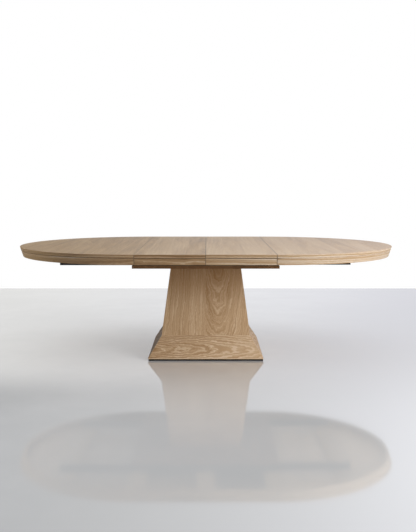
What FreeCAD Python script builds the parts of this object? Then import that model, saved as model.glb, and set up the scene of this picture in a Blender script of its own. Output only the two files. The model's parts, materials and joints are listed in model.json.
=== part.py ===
"""Extending dining table on one flared pedestal, modelled as the pieces it is built from.

Millimetres, +Z up, +X along the table, the front faces -Y.
The origin is on the floor under the middle of the pedestal.
Both leaves are in place, so the top stands at its full length.
The right half, its leaf and its fittings are the left ones turned half round the Z axis.
"""

import FreeCAD
import Part
import math
import os

from FreeCAD import Vector

# Whole table
TABLE_HEIGHT = 775.0
TOP_RADIUS = 900.0
LEAF_WIDTH = 450.0
SEAM_GAP = 0.6
FLOOR_GAP = 12.0
OPENING_TRAVEL = 50.0

# Top slabs and the edge that slopes in under them
SLAB_THICKNESS = 24.0
RIM_ROUND = 1.5
EDGE_GROOVE_HALF = 1.5
EDGE_GROOVE_DEPTH = 4.0
EDGE_UNDERCUT = 24.0
APRON_DEPTH = 44.0
APRON_THICKNESS = 22.0

# Cleats under the slabs
CLEAT_HEIGHT = 30.0
CLEAT_WIDTH = 60.0
CLEAT_END_GAP = 34.0
OUTER_CLEAT_SHARE = 0.5
LEAF_CLEAT_RELIEF = 0.5
CLEAT_CLEARANCE = 2.0

# Sub-top board that carries the slides
SUBTOP_OVERHANG = 47.0
SUBTOP_DEPTH_SHARE = 0.589
SUBTOP_THICKNESS = 20.0

# Slides: a fixed guide with a tongue on each side and a grooved runner on each tongue
GUIDE_HEIGHT = 50.0
GUIDE_WEB = 8.0
GUIDE_FOOT = 3.0
GUIDE_SETBACK = 4.0
TONGUE_REACH = 14.0
TONGUE_HEIGHT = 10.0
RUNNER_WIDTH = 24.0
RUNNER_END_GAP = 143.0
RUNNER_ENGAGEMENT = 215.0
SLIDE_CLEARANCE = 0.4
PAD_SEAT_GAP = 0.2
PAD_LENGTH_SHARE = 0.8

# Rack and pinion that make both halves move alike
GEAR_MODULE = 3.0
PINION_TEETH = 20
PRESSURE_ANGLE = math.radians(20)
DEDENDUM_SHARE = 1.25
FLANK_SHARES = (0.0, 0.25, 0.5, 0.75, 1.0)
BACKLASH = 0.5
GAP_TURN_SHARE = 0.5
PINION_THICKNESS = 14.0
PINION_LIFT = 10.0
PINION_PLAY = 0.3
RACK_THICKNESS = 12.0
RACK_BACK = 10.0
RACK_SPARE = 20.0
HANGER_FLANGE = 40.0
HANGER_FLANGE_THICKNESS = 5.0
STUD_RADIUS = 8.0
STUD_FIT = 0.1
STUD_COLLAR_RADIUS = 14.0
STUD_HEAD_HEIGHT = 5.0
STUD_THREAD_RADIUS = 5.0
BLOCK_LENGTH = 30.0
BLOCK_WALL = 14.0
BLOCK_OFFSET = 50.0

# Pins that line the leaves up, and their keepers
PIN_RADIUS = 5.0
PIN_LENGTH = 40.0
PIN_REACH = 14.0
PIN_NEAR_OFFSET = 330.0
PIN_FAR_OFFSET = 390.0
PIN_CLEARANCE = 0.5
PIN_END_GAP = 2.0
KEEPER_WIDTH = 44.0
KEEPER_DEPTH = 40.0

# Swing latches that hold the leaves
LATCH_OFFSET = 200.0
LATCH_WIDTH = 20.0
LATCH_THICKNESS = 4.0
LATCH_DROP = 3.0
LATCH_END = 8.0
LATCH_SLOT_CLEARANCE = 0.5
LATCH_POST_RADIUS = 4.0
LATCH_POST_TAIL = 2.0
LATCH_PLATE_RADIUS = 9.0
LATCH_PLATE_THICKNESS = 1.5
LATCH_PIVOT_RADIUS = 3.0
LATCH_COLLAR_RADIUS = 6.0
LATCH_HEAD_HEIGHT = 3.0
LATCH_PIVOT_FIT = 0.1
LATCH_PLAY = 0.2
KNOB_RADIUS = 6.0
KNOB_HEIGHT = 10.0
KNOB_SHARE = 0.55

# Column and flared plinth
COLUMN_TOP_WIDTH = 492.0
COLUMN_FOOT_WIDTH = 618.0
COLUMN_WALL = 22.0
COLUMN_TOP_BOARD = 25.0
CORNER_POST_WIDTH = 40.0
INNER_BOARD = 22.0
SHELF_HEIGHT_SHARE = 0.5
PLINTH_WIDTH = 795.0
PLINTH_HEIGHT = 148.0
PLINTH_WALL = 26.0
PLINTH_LIP = 6.0
TOE_INSET = 3.0
TOE_STRIP_WIDTH = 18.0
TOE_CLEARANCE = 2.0

# Levelling feet
FOOT_SETBACK = 32.0
FOOT_RADIUS = 20.0
FOOT_HEIGHT = 8.0
FOOT_EDGE = 1.5
STEM_RADIUS = 5.0
STEM_LENGTH = 50.0
STEM_CLEARANCE = 0.15
INSERT_RADIUS = 8.0
INSERT_FLANGE_RADIUS = 14.0
INSERT_FLANGE = 3.0

# Fasteners
SCREW_RADIUS = 2.2
SCREW_HEAD_RADIUS = 4.4
SCREW_HEAD_HEIGHT = 1.8
SCREW_BITE = 14.0
RUNNER_BOLT_RADIUS = 2.5
RUNNER_BOLT_HEAD_RADIUS = 4.2
RUNNER_BOLT_HEAD_HEIGHT = 4.0
RUNNER_BOLT_BITE = 20.0
BASE_BOLT_RADIUS = 5.0
BASE_BOLT_HEAD_RADIUS = 9.0
BASE_BOLT_HEAD_HEIGHT = 6.5
BASE_BOLT_BITE = 20.0
BASE_BOLT_SETBACK = 56.0
HOLE_CLEARANCE = 0.05
CUT_OVERRUN = 5.0
SEAM_SCREW_SHARES = (-0.44, -0.17, 0.17, 0.44)
OUTER_SCREW_SHARES = (-0.3, -0.1, 0.1, 0.3)
GUIDE_SCREW_SHARES = (-0.46, -0.23, 0.0, 0.23, 0.46)

# Levels, from the top down
SLAB_BOTTOM_Z = TABLE_HEIGHT - SLAB_THICKNESS
APRON_BOTTOM_Z = SLAB_BOTTOM_Z - APRON_DEPTH
CLEAT_BOTTOM_Z = SLAB_BOTTOM_Z - CLEAT_HEIGHT
LEAF_CLEAT_BOTTOM_Z = CLEAT_BOTTOM_Z + LEAF_CLEAT_RELIEF
GUIDE_TOP_Z = CLEAT_BOTTOM_Z - CLEAT_CLEARANCE
SUBTOP_TOP_Z = GUIDE_TOP_Z - GUIDE_HEIGHT
COLUMN_TOP_Z = SUBTOP_TOP_Z - SUBTOP_THICKNESS
PLINTH_TOP_Z = FLOOR_GAP + PLINTH_HEIGHT
RUNNER_BOTTOM_Z = SUBTOP_TOP_Z + GUIDE_FOOT + SLIDE_CLEARANCE
TONGUE_Z = (RUNNER_BOTTOM_Z + CLEAT_BOTTOM_Z) / 2
PIN_Z = SLAB_BOTTOM_Z - CLEAT_HEIGHT / 2
PINION_BOTTOM_Z = SUBTOP_TOP_Z + PINION_LIFT
PINION_TOP_Z = PINION_BOTTOM_Z + PINION_THICKNESS
RACK_BOTTOM_Z = PINION_BOTTOM_Z + (PINION_THICKNESS - RACK_THICKNESS) / 2
RACK_TOP_Z = RACK_BOTTOM_Z + RACK_THICKNESS
LATCH_TOP_Z = CLEAT_BOTTOM_Z - LATCH_DROP
LATCH_BOTTOM_Z = LATCH_TOP_Z - LATCH_THICKNESS


def edge_reach(z):
    """How far the sloping edge stands out at this height."""
    return TOP_RADIUS - EDGE_UNDERCUT * (TABLE_HEIGHT - z) / (SLAB_THICKNESS + APRON_DEPTH)


def apron_chord(offset):
    """How far the inside of an apron reaches along a line this far from the middle of its half round."""
    inside = edge_reach(APRON_BOTTOM_Z) - APRON_THICKNESS
    return math.sqrt(inside**2 - offset**2)


def column_half(z):
    """Half width of the column at this height."""
    share = (z - PLINTH_TOP_Z) / (COLUMN_TOP_Z - PLINTH_TOP_Z)
    return (COLUMN_FOOT_WIDTH + share * (COLUMN_TOP_WIDTH - COLUMN_FOOT_WIDTH)) / 2


def plinth_half(z):
    """Half width of the plinth's slope, carried on below its lip."""
    share = (z - FLOOR_GAP - PLINTH_LIP) / (PLINTH_HEIGHT - PLINTH_LIP)
    return (PLINTH_WIDTH + share * (COLUMN_FOOT_WIDTH - PLINTH_WIDTH)) / 2


# Places along and across the table
SUBTOP_LENGTH = 2 * (LEAF_WIDTH + SUBTOP_OVERHANG)
SUBTOP_DEPTH = SUBTOP_DEPTH_SHARE * 2 * TOP_RADIUS
HALF_SEAM_X = -(LEAF_WIDTH + SEAM_GAP / 2)
LEAF_SEAM_X = -(LEAF_WIDTH - SEAM_GAP / 2)
LEAF_MIDDLE_X = -SEAM_GAP / 2
SEAM_CLEAT_X = HALF_SEAM_X - CLEAT_WIDTH / 2
OUTER_CLEAT_OFFSET = OUTER_CLEAT_SHARE * TOP_RADIUS
OUTER_CLEAT_X = HALF_SEAM_X - OUTER_CLEAT_OFFSET
SEAM_CLEAT_LENGTH = 2 * (apron_chord(CLEAT_WIDTH) - CLEAT_END_GAP)
OUTER_CLEAT_LENGTH = 2 * (apron_chord(OUTER_CLEAT_OFFSET + CLEAT_WIDTH / 2) - CLEAT_END_GAP)
LEAF_CLEAT_X = LEAF_SEAM_X + CLEAT_WIDTH / 2
LATCH_REACH = LEAF_CLEAT_X - SEAM_CLEAT_X
WEB_HALF = GUIDE_WEB / 2
GUIDE_HALF_LENGTH = SUBTOP_LENGTH / 2 - GUIDE_SETBACK
GUIDE_FOOT_HALF = WEB_HALF + SLIDE_CLEARANCE + RUNNER_WIDTH
GUIDE_Y = SUBTOP_DEPTH / 2 - GUIDE_SETBACK - GUIDE_FOOT_HALF
RUNNER_OUTER_X = HALF_SEAM_X - apron_chord(GUIDE_Y + GUIDE_FOOT_HALF) + RUNNER_END_GAP
RUNNER_INNER_X = -(GUIDE_HALF_LENGTH - RUNNER_ENGAGEMENT)
GROOVE_DEPTH = TONGUE_REACH + SLIDE_CLEARANCE
RUNNER_BOLT_Y = GUIDE_FOOT_HALF - (RUNNER_WIDTH - GROOVE_DEPTH) / 2
PITCH_RADIUS = GEAR_MODULE * PINION_TEETH / 2
RACK_PITCH = math.pi * GEAR_MODULE
DEDENDUM = DEDENDUM_SHARE * GEAR_MODULE
RACK_ROOT_Y = PITCH_RADIUS + DEDENDUM
RACK_BACK_Y = RACK_ROOT_Y + RACK_BACK
FOOT_OFFSET = plinth_half(FLOOR_GAP + INNER_BOARD) - PLINTH_WALL - FOOT_SETBACK
BASE_BOLT_OFFSET = column_half(COLUMN_TOP_Z) - COLUMN_WALL - BASE_BOLT_SETBACK
HALF_PIN_OFFSETS = (PIN_NEAR_OFFSET, -PIN_FAR_OFFSET)
HALF_SOCKET_OFFSETS = (-PIN_NEAR_OFFSET, PIN_FAR_OFFSET)

UP = Vector(0, 0, 1)
ORIGIN = Vector(0, 0, 0)


def box(x_low, x_high, y_low, y_high, z_low, z_high):
    """Box between two values on each axis."""
    return Part.makeBox(x_high - x_low, y_high - y_low, z_high - z_low, Vector(x_low, y_low, z_low))


def rod(radius, x, y, z_low, z_high):
    """Upright cylinder."""
    return Part.makeCylinder(radius, z_high - z_low, Vector(x, y, z_low))


def stepped_rod(x, y, steps, clearance=0.0):
    """Upright turned piece, from (radius, low, high) steps; the clearance widens it into its hole."""
    rods = [rod(radius + clearance, x, y, low, high) for radius, low, high in steps]
    solid = rods[0]
    for piece in rods[1:]:
        solid = solid.fuse(piece)
    return solid.removeSplitter()


def drilled(shape, holes):
    """Shape with the holes cut out of it."""
    for hole in holes:
        shape = shape.cut(hole)
    return shape.Solids[0]


def polygon_face(points):
    """Flat face with these corners."""
    return Part.Face(Part.makePolygon(points + points[:1]))


def solid_of(faces):
    """Solid closed by flat faces, each a list of corners."""
    solid = Part.Solid(Part.Shell([polygon_face(points) for points in faces]))
    if solid.Volume < 0:
        solid.reverse()
    return solid


def half_turn(shape):
    """The same piece on the right half."""
    return shape.rotated(ORIGIN, UP, 180)


def along_x(profile, x_low, x_high):
    """Bar along X from a profile of (y, z) corners."""
    face = polygon_face([Vector(x_low, y, z) for y, z in profile])
    return face.extrude(Vector(x_high - x_low, 0, 0))


def slab_edge():
    """Slab edge as (reach, z) points: lower groove corner, slope, then the rounded rim as three points."""
    slope_length = math.hypot(EDGE_UNDERCUT, SLAB_THICKNESS + APRON_DEPTH)
    slope_angle = math.acos(EDGE_UNDERCUT / slope_length)
    tangent = RIM_ROUND / math.tan(slope_angle / 2)
    bisector = slope_angle / 2
    corner_to_arc = RIM_ROUND / math.sin(bisector) - RIM_ROUND
    groove_top = SLAB_BOTTOM_Z + EDGE_GROOVE_HALF
    return [
        (edge_reach(SLAB_BOTTOM_Z) - EDGE_GROOVE_DEPTH, SLAB_BOTTOM_Z),
        (edge_reach(groove_top), groove_top),
        (TOP_RADIUS - tangent * math.cos(slope_angle), TABLE_HEIGHT - tangent * math.sin(slope_angle)),
        (TOP_RADIUS - corner_to_arc * math.cos(bisector), TABLE_HEIGHT - corner_to_arc * math.sin(bisector)),
        (TOP_RADIUS - tangent, TABLE_HEIGHT),
    ]


def apron_section():
    """Apron section as (reach, z) corners."""
    groove_bottom = SLAB_BOTTOM_Z - EDGE_GROOVE_HALF
    return [
        (edge_reach(APRON_BOTTOM_Z), APRON_BOTTOM_Z),
        (edge_reach(groove_bottom), groove_bottom),
        (edge_reach(SLAB_BOTTOM_Z) - EDGE_GROOVE_DEPTH, SLAB_BOTTOM_Z),
        (edge_reach(SLAB_BOTTOM_Z) - APRON_THICKNESS, SLAB_BOTTOM_Z),
        (edge_reach(APRON_BOTTOM_Z) - APRON_THICKNESS, APRON_BOTTOM_Z),
    ]


def chain(points):
    """Edges of a slab edge, with its last three points as an arc."""
    straight = Part.makePolygon(points[:3]).Edges
    return straight + [Part.Arc(points[2], points[3], points[4]).toShape()]


def left_slab():
    """Half round slab of the left end."""
    points = [Vector(HALF_SEAM_X, -reach, z) for reach, z in slab_edge()]
    axis_low = Vector(HALF_SEAM_X, 0, SLAB_BOTTOM_Z)
    axis_high = Vector(HALF_SEAM_X, 0, TABLE_HEIGHT)
    closing = Part.makePolygon([points[-1], axis_high, axis_low, points[0]]).Edges
    face = Part.Face(Part.Wire(Part.__sortEdges__(chain(points) + closing)))
    slab = face.revolve(axis_low, UP, -180).removeSplitter()
    return drilled(slab, [half_screw(x, y) for x, y in cleat_screw_places()])


def left_apron():
    """Half ring under the left slab."""
    face = polygon_face([Vector(HALF_SEAM_X, -reach, z) for reach, z in apron_section()])
    return face.revolve(Vector(HALF_SEAM_X, 0, 0), UP, -180).removeSplitter()


def left_leaf_slab():
    """Leaf slab with the same edge along its front and its rear."""
    front = [Vector(LEAF_SEAM_X, -reach, z) for reach, z in slab_edge()]
    rear = [Vector(LEAF_SEAM_X, reach, z) for reach, z in slab_edge()]
    top = Part.makeLine(front[-1], rear[-1])
    under = Part.makeLine(front[0], rear[0])
    face = Part.Face(Part.Wire(Part.__sortEdges__(chain(front) + chain(rear) + [top, under])))
    return face.extrude(Vector(LEAF_MIDDLE_X - LEAF_SEAM_X, 0, 0))


def left_leaf_apron(side):
    """Leaf apron on one side: -1 for the front, 1 for the rear."""
    profile = [(side * reach, z) for reach, z in apron_section()]
    return along_x(profile, LEAF_SEAM_X, LEAF_MIDDLE_X)


def cleat_screw_places():
    """Where screws go up through the left half's cleats into its slab."""
    seam = [(SEAM_CLEAT_X, share * SEAM_CLEAT_LENGTH) for share in SEAM_SCREW_SHARES]
    outer = [(OUTER_CLEAT_X, share * OUTER_CLEAT_LENGTH) for share in OUTER_SCREW_SHARES]
    return seam + outer


def half_screw(x, y, clearance=HOLE_CLEARANCE):
    """Screw from under a cleat into the slab, or its hole."""
    head_top = CLEAT_BOTTOM_Z + SCREW_HEAD_HEIGHT
    steps = [
        (SCREW_HEAD_RADIUS, CLEAT_BOTTOM_Z, head_top),
        (SCREW_RADIUS, head_top, SLAB_BOTTOM_Z + SCREW_BITE),
    ]
    return stepped_rod(x, y, steps, clearance)


def runner_bolt_places():
    """Where bolts go up through the left half's runners into its cleats."""
    return [(x, y - RUNNER_BOLT_Y) for x in (SEAM_CLEAT_X, OUTER_CLEAT_X) for y in (-GUIDE_Y, GUIDE_Y)]


def runner_bolt(x, y, clearance=HOLE_CLEARANCE):
    """Bolt from a counterbore under a runner into a cleat, or its hole."""
    head_top = RUNNER_BOTTOM_Z + RUNNER_BOLT_HEAD_HEIGHT
    steps = [
        (RUNNER_BOLT_HEAD_RADIUS, RUNNER_BOTTOM_Z, head_top),
        (RUNNER_BOLT_RADIUS, head_top, CLEAT_BOTTOM_Z + RUNNER_BOLT_BITE),
    ]
    return stepped_rod(x, y, steps, clearance)


def latch_pivot(y, clearance=HOLE_CLEARANCE):
    """Headed pivot of a latch, let into the seam cleat, or its hole."""
    collar_bottom = LATCH_TOP_Z + LATCH_PLAY
    head_top = LATCH_BOTTOM_Z - LATCH_PLAY
    steps = [
        (LATCH_COLLAR_RADIUS, head_top - LATCH_HEAD_HEIGHT, head_top),
        (LATCH_PIVOT_RADIUS, head_top, CLEAT_BOTTOM_Z + SCREW_BITE),
        (LATCH_COLLAR_RADIUS, collar_bottom, CLEAT_BOTTOM_Z),
    ]
    return stepped_rod(SEAM_CLEAT_X, y, steps, clearance)


def left_half_screws():
    """Cleat screws, runner bolts and latch pivots of the left half."""
    screws = [half_screw(x, y, 0.0) for x, y in cleat_screw_places()]
    bolts = [runner_bolt(x, y, 0.0) for x, y in runner_bolt_places()]
    pivots = [latch_pivot(y, 0.0) for y in (-LATCH_OFFSET, LATCH_OFFSET)]
    return Part.makeCompound(screws + bolts + pivots)


def alignment_pin(y, x_inner, x_outer, clearance=0.0):
    """Level pin along X, or its bore."""
    return Part.makeCylinder(PIN_RADIUS + clearance, x_outer - x_inner, Vector(x_inner, y, PIN_Z), Vector(1, 0, 0))


def left_pins():
    """Pins that stand out of the left half's seam."""
    outer_x = HALF_SEAM_X + PIN_REACH
    return Part.makeCompound([alignment_pin(y, outer_x - PIN_LENGTH, outer_x) for y in HALF_PIN_OFFSETS])


def left_cleats():
    """Seam cleat and outer cleat under the left slab."""
    seam_half = SEAM_CLEAT_LENGTH / 2
    outer_half = OUTER_CLEAT_LENGTH / 2
    seam = box(HALF_SEAM_X - CLEAT_WIDTH, HALF_SEAM_X, -seam_half, seam_half, CLEAT_BOTTOM_Z, SLAB_BOTTOM_Z)
    outer_low = OUTER_CLEAT_X - CLEAT_WIDTH / 2
    outer_high = OUTER_CLEAT_X + CLEAT_WIDTH / 2
    outer = box(outer_low, outer_high, -outer_half, outer_half, CLEAT_BOTTOM_Z, SLAB_BOTTOM_Z)
    screw_holes = [half_screw(x, y) for x, y in cleat_screw_places()]
    bolt_holes = [runner_bolt(x, y) for x, y in runner_bolt_places()]
    pivot_holes = [latch_pivot(y) for y in (-LATCH_OFFSET, LATCH_OFFSET)]
    bore_x = HALF_SEAM_X + PIN_REACH - PIN_LENGTH
    bores = [alignment_pin(y, bore_x, HALF_SEAM_X + CUT_OVERRUN, HOLE_CLEARANCE) for y in HALF_PIN_OFFSETS]
    socket_x = HALF_SEAM_X - PIN_REACH - PIN_END_GAP
    sockets = [alignment_pin(y, socket_x, HALF_SEAM_X + CUT_OVERRUN, PIN_CLEARANCE) for y in HALF_SOCKET_OFFSETS]
    seam = drilled(seam, screw_holes + bolt_holes + pivot_holes + bores + sockets)
    outer = drilled(outer, screw_holes + bolt_holes)
    return Part.makeCompound([seam, outer])


def leaf_cleat_boxes(y_edges):
    """Straight lengths of the left leaf's cleat at the outer seam, between pairs of y values."""
    x_high = LEAF_SEAM_X + CLEAT_WIDTH
    return [box(LEAF_SEAM_X, x_high, low, high, LEAF_CLEAT_BOTTOM_Z, SLAB_BOTTOM_Z) for low, high in y_edges]


def left_leaf_cleats():
    """Cleats under the left leaf; the outer one is parted round its two keepers."""
    half = SEAM_CLEAT_LENGTH / 2
    gap = KEEPER_WIDTH / 2
    near, far = HALF_PIN_OFFSETS
    outer = leaf_cleat_boxes([(-half, far - gap), (far + gap, near - gap), (near + gap, half)])
    x_low = LEAF_MIDDLE_X - CLEAT_WIDTH
    middle = box(x_low, LEAF_MIDDLE_X, -half, half, LEAF_CLEAT_BOTTOM_Z, SLAB_BOTTOM_Z)
    return Part.makeCompound(outer + [middle])


def pin_keeper(y):
    """Block on the left leaf with a notch, open below, that drops over a pin."""
    half = KEEPER_WIDTH / 2
    block = box(LEAF_SEAM_X, LEAF_SEAM_X + KEEPER_DEPTH, y - half, y + half, LEAF_CLEAT_BOTTOM_Z, SLAB_BOTTOM_Z)
    notch_half = PIN_RADIUS + PIN_CLEARANCE
    notch_x = HALF_SEAM_X + PIN_REACH + PIN_END_GAP
    slot_low = LEAF_CLEAT_BOTTOM_Z - CUT_OVERRUN
    slot = box(LEAF_SEAM_X - CUT_OVERRUN, notch_x, y - notch_half, y + notch_half, slot_low, PIN_Z)
    crown = alignment_pin(y, LEAF_SEAM_X - CUT_OVERRUN, notch_x, PIN_CLEARANCE)
    return drilled(block, [slot, crown])


def latch_post(y):
    """Post under the left leaf that a latch swings onto."""
    plate_bottom = LEAF_CLEAT_BOTTOM_Z - LATCH_PLATE_THICKNESS
    steps = [
        (LATCH_POST_RADIUS, LATCH_BOTTOM_Z - LATCH_POST_TAIL, plate_bottom),
        (LATCH_PLATE_RADIUS, plate_bottom, LEAF_CLEAT_BOTTOM_Z),
    ]
    return stepped_rod(LEAF_CLEAT_X, y, steps)


def left_leaf_keepers():
    """Pin keepers and latch posts of the left leaf."""
    posts = [latch_post(y) for y in (-LATCH_OFFSET, LATCH_OFFSET)]
    return Part.makeCompound([pin_keeper(y) for y in HALF_PIN_OFFSETS] + posts)


def left_leaf_pads():
    """Pads under the left leaf's cleats that stand on the guides."""
    half = CLEAT_WIDTH * PAD_LENGTH_SHARE / 2
    pads = []
    for x in (LEAF_CLEAT_X, LEAF_MIDDLE_X - CLEAT_WIDTH / 2):
        for y in (-GUIDE_Y, GUIDE_Y):
            low = GUIDE_TOP_Z + PAD_SEAT_GAP
            pads.append(box(x - half, x + half, y - WEB_HALF, y + WEB_HALF, low, LEAF_CLEAT_BOTTOM_Z))
    return Part.makeCompound(pads)


def guide_screw_places():
    """Where the guides are screwed to the sub-top board, to each side of the web in turn."""
    places = []
    for guide_y in (-GUIDE_Y, GUIDE_Y):
        side = 1
        for share in GUIDE_SCREW_SHARES:
            side = -side
            y = guide_y + side * (WEB_HALF + GUIDE_FOOT_HALF) / 2
            places.append((share * 2 * GUIDE_HALF_LENGTH, y))
    return places


def guide_screw(x, y, clearance=HOLE_CLEARANCE):
    """Screw flush with a guide's foot, or its hole."""
    foot_top = SUBTOP_TOP_Z + GUIDE_FOOT
    head_bottom = foot_top - SCREW_HEAD_HEIGHT
    steps = [
        (SCREW_RADIUS, SUBTOP_TOP_Z - SCREW_BITE, head_bottom),
        (SCREW_HEAD_RADIUS, head_bottom, foot_top),
    ]
    return stepped_rod(x, y, steps, clearance)


def slide_guide(guide_y):
    """Fixed guide: foot, upright web and a tongue on each side."""
    tongue_low = TONGUE_Z - TONGUE_HEIGHT / 2
    tongue_high = TONGUE_Z + TONGUE_HEIGHT / 2
    foot_top = SUBTOP_TOP_Z + GUIDE_FOOT
    tongue_half = WEB_HALF + TONGUE_REACH
    right_side = [
        (GUIDE_FOOT_HALF, SUBTOP_TOP_Z),
        (GUIDE_FOOT_HALF, foot_top),
        (WEB_HALF, foot_top),
        (WEB_HALF, tongue_low),
        (tongue_half, tongue_low),
        (tongue_half, tongue_high),
        (WEB_HALF, tongue_high),
        (WEB_HALF, GUIDE_TOP_Z),
    ]
    left_side = [(-y, z) for y, z in reversed(right_side)]
    profile = [(guide_y + y, z) for y, z in right_side + left_side]
    guide = along_x(profile, -GUIDE_HALF_LENGTH, GUIDE_HALF_LENGTH)
    return drilled(guide, [guide_screw(x, y) for x, y in guide_screw_places()])


def left_runner(guide_y):
    """Grooved runner of the left half, on the -Y side of a guide."""
    near = guide_y - WEB_HALF - SLIDE_CLEARANCE
    far = guide_y - GUIDE_FOOT_HALF
    groove_y = near - GROOVE_DEPTH
    groove_low = TONGUE_Z - TONGUE_HEIGHT / 2 - SLIDE_CLEARANCE
    groove_high = TONGUE_Z + TONGUE_HEIGHT / 2 + SLIDE_CLEARANCE
    profile = [
        (far, RUNNER_BOTTOM_Z),
        (near, RUNNER_BOTTOM_Z),
        (near, groove_low),
        (groove_y, groove_low),
        (groove_y, groove_high),
        (near, groove_high),
        (near, CLEAT_BOTTOM_Z),
        (far, CLEAT_BOTTOM_Z),
    ]
    runner = along_x(profile, RUNNER_OUTER_X, RUNNER_INNER_X)
    return drilled(runner, [runner_bolt(x, y) for x, y in runner_bolt_places()])


def left_rack():
    """Toothed bar of the left half, with the hanger that fixes it under the seam cleat."""
    slope = math.tan(PRESSURE_ANGLE)
    pitch_half = RACK_PITCH / 4 - BACKLASH / 4
    tip_half = pitch_half - GEAR_MODULE * slope
    root_half = pitch_half + DEDENDUM * slope
    first = -math.floor((LEAF_WIDTH + RACK_SPARE) / RACK_PITCH)
    last = math.floor((OPENING_TRAVEL + RACK_SPARE) / RACK_PITCH)
    end_x = (last + 1) * RACK_PITCH
    hanger_low = HALF_SEAM_X - CLEAT_WIDTH
    outline = [Vector(hanger_low, RACK_BACK_Y, RACK_BOTTOM_Z), Vector(hanger_low, RACK_ROOT_Y, RACK_BOTTOM_Z)]
    for number in range(first, last + 1):
        x = number * RACK_PITCH
        outline.append(Vector(x - root_half, RACK_ROOT_Y, RACK_BOTTOM_Z))
        outline.append(Vector(x - tip_half, PITCH_RADIUS - GEAR_MODULE, RACK_BOTTOM_Z))
        outline.append(Vector(x + tip_half, PITCH_RADIUS - GEAR_MODULE, RACK_BOTTOM_Z))
        outline.append(Vector(x + root_half, RACK_ROOT_Y, RACK_BOTTOM_Z))
    outline.append(Vector(end_x, RACK_ROOT_Y, RACK_BOTTOM_Z))
    outline.append(Vector(end_x, RACK_BACK_Y, RACK_BOTTOM_Z))
    bar = polygon_face(outline).extrude(Vector(0, 0, RACK_THICKNESS))
    upright = box(hanger_low, HALF_SEAM_X, RACK_ROOT_Y, RACK_BACK_Y, RACK_TOP_Z, CLEAT_BOTTOM_Z)
    flange_bottom = CLEAT_BOTTOM_Z - HANGER_FLANGE_THICKNESS
    flange_y = RACK_ROOT_Y + HANGER_FLANGE
    flange = box(hanger_low, HALF_SEAM_X, RACK_ROOT_Y, flange_y, flange_bottom, CLEAT_BOTTOM_Z)
    return bar.fuse([upright, flange]).removeSplitter().Solids[0]


def pinion():
    """Spur gear between the two racks, with a gap facing each of them."""
    base = PITCH_RADIUS * math.cos(PRESSURE_ANGLE)
    tip = PITCH_RADIUS + GEAR_MODULE
    root = PITCH_RADIUS - DEDENDUM
    half_angle = math.pi / (2 * PINION_TEETH) - BACKLASH / (4 * PITCH_RADIUS)
    start_angle = half_angle + math.tan(PRESSURE_ANGLE) - PRESSURE_ANGLE
    flank = []
    for share in FLANK_SHARES:
        radius = base + share * (tip - base)
        roll = math.acos(base / radius)
        flank.append((radius, start_angle - math.tan(roll) + roll))
    flank = [(root, start_angle)] + flank
    corners = []
    for number in range(PINION_TEETH):
        middle = math.pi / 2 + (number + GAP_TURN_SHARE) * 2 * math.pi / PINION_TEETH
        corners += [(radius, middle - angle) for radius, angle in flank]
        corners += [(radius, middle + angle) for radius, angle in reversed(flank)]
    outline = [Vector(r * math.cos(angle), r * math.sin(angle), PINION_BOTTOM_Z) for r, angle in corners]
    gear = polygon_face(outline).extrude(Vector(0, 0, PINION_THICKNESS))
    return drilled(gear, [rod(STUD_RADIUS + STUD_FIT, 0, 0, PINION_BOTTOM_Z, PINION_TOP_Z)])


def pinion_stud(clearance=0.0):
    """Headed stud that the pinion turns on, let into the sub-top board, or its hole."""
    collar_top = PINION_BOTTOM_Z - PINION_PLAY
    head_bottom = PINION_TOP_Z + PINION_PLAY
    steps = [
        (STUD_THREAD_RADIUS, COLUMN_TOP_Z, SUBTOP_TOP_Z),
        (STUD_COLLAR_RADIUS, SUBTOP_TOP_Z, collar_top),
        (STUD_RADIUS, collar_top, head_bottom),
        (STUD_COLLAR_RADIUS, head_bottom, head_bottom + STUD_HEAD_HEIGHT),
    ]
    return stepped_rod(0, 0, steps, clearance)


def rack_guide_blocks():
    """Blocks that back and carry the racks beside the pinion."""
    back = RACK_BACK_Y + SLIDE_CLEARANCE
    ledge = RACK_BOTTOM_Z - SLIDE_CLEARANCE
    profile = [
        (RACK_ROOT_Y, SUBTOP_TOP_Z),
        (back + BLOCK_WALL, SUBTOP_TOP_Z),
        (back + BLOCK_WALL, RACK_TOP_Z),
        (back, RACK_TOP_Z),
        (back, ledge),
        (RACK_ROOT_Y, ledge),
    ]
    blocks = []
    for x in (-BLOCK_OFFSET, BLOCK_OFFSET):
        block = along_x(profile, x - BLOCK_LENGTH / 2, x + BLOCK_LENGTH / 2)
        blocks += [block, half_turn(block)]
    return Part.makeCompound(blocks)


def rear_left_latch():
    """Swing latch parked along the seam, with its hook slot open towards the leaf."""
    y_end = LATCH_REACH + LATCH_POST_RADIUS + LATCH_SLOT_CLEARANCE + LATCH_END
    half = LATCH_WIDTH / 2
    bar = box(-half, half, 0, y_end - half, 0, LATCH_THICKNESS)
    bar = bar.fuse([rod(half, 0, 0, 0, LATCH_THICKNESS), rod(half, 0, y_end - half, 0, LATCH_THICKNESS)])
    slot_half = LATCH_POST_RADIUS + LATCH_SLOT_CLEARANCE
    arc_sag = LATCH_REACH - math.sqrt(LATCH_REACH**2 - half**2)
    slot_low = LATCH_REACH - slot_half - arc_sag
    slot = box(0, half + CUT_OVERRUN, slot_low, LATCH_REACH + slot_half, 0, LATCH_THICKNESS)
    seat = rod(slot_half, 0, LATCH_REACH, 0, LATCH_THICKNESS)
    bore = rod(LATCH_PIVOT_RADIUS + LATCH_PIVOT_FIT, 0, 0, 0, LATCH_THICKNESS)
    bar = drilled(bar.removeSplitter(), [slot, seat, bore])
    knob = rod(KNOB_RADIUS, 0, LATCH_REACH * KNOB_SHARE, -KNOB_HEIGHT, 0)
    latch = bar.fuse(knob).removeSplitter().Solids[0]
    return latch.translated(Vector(SEAM_CLEAT_X, LATCH_OFFSET, LATCH_BOTTOM_Z))


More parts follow.
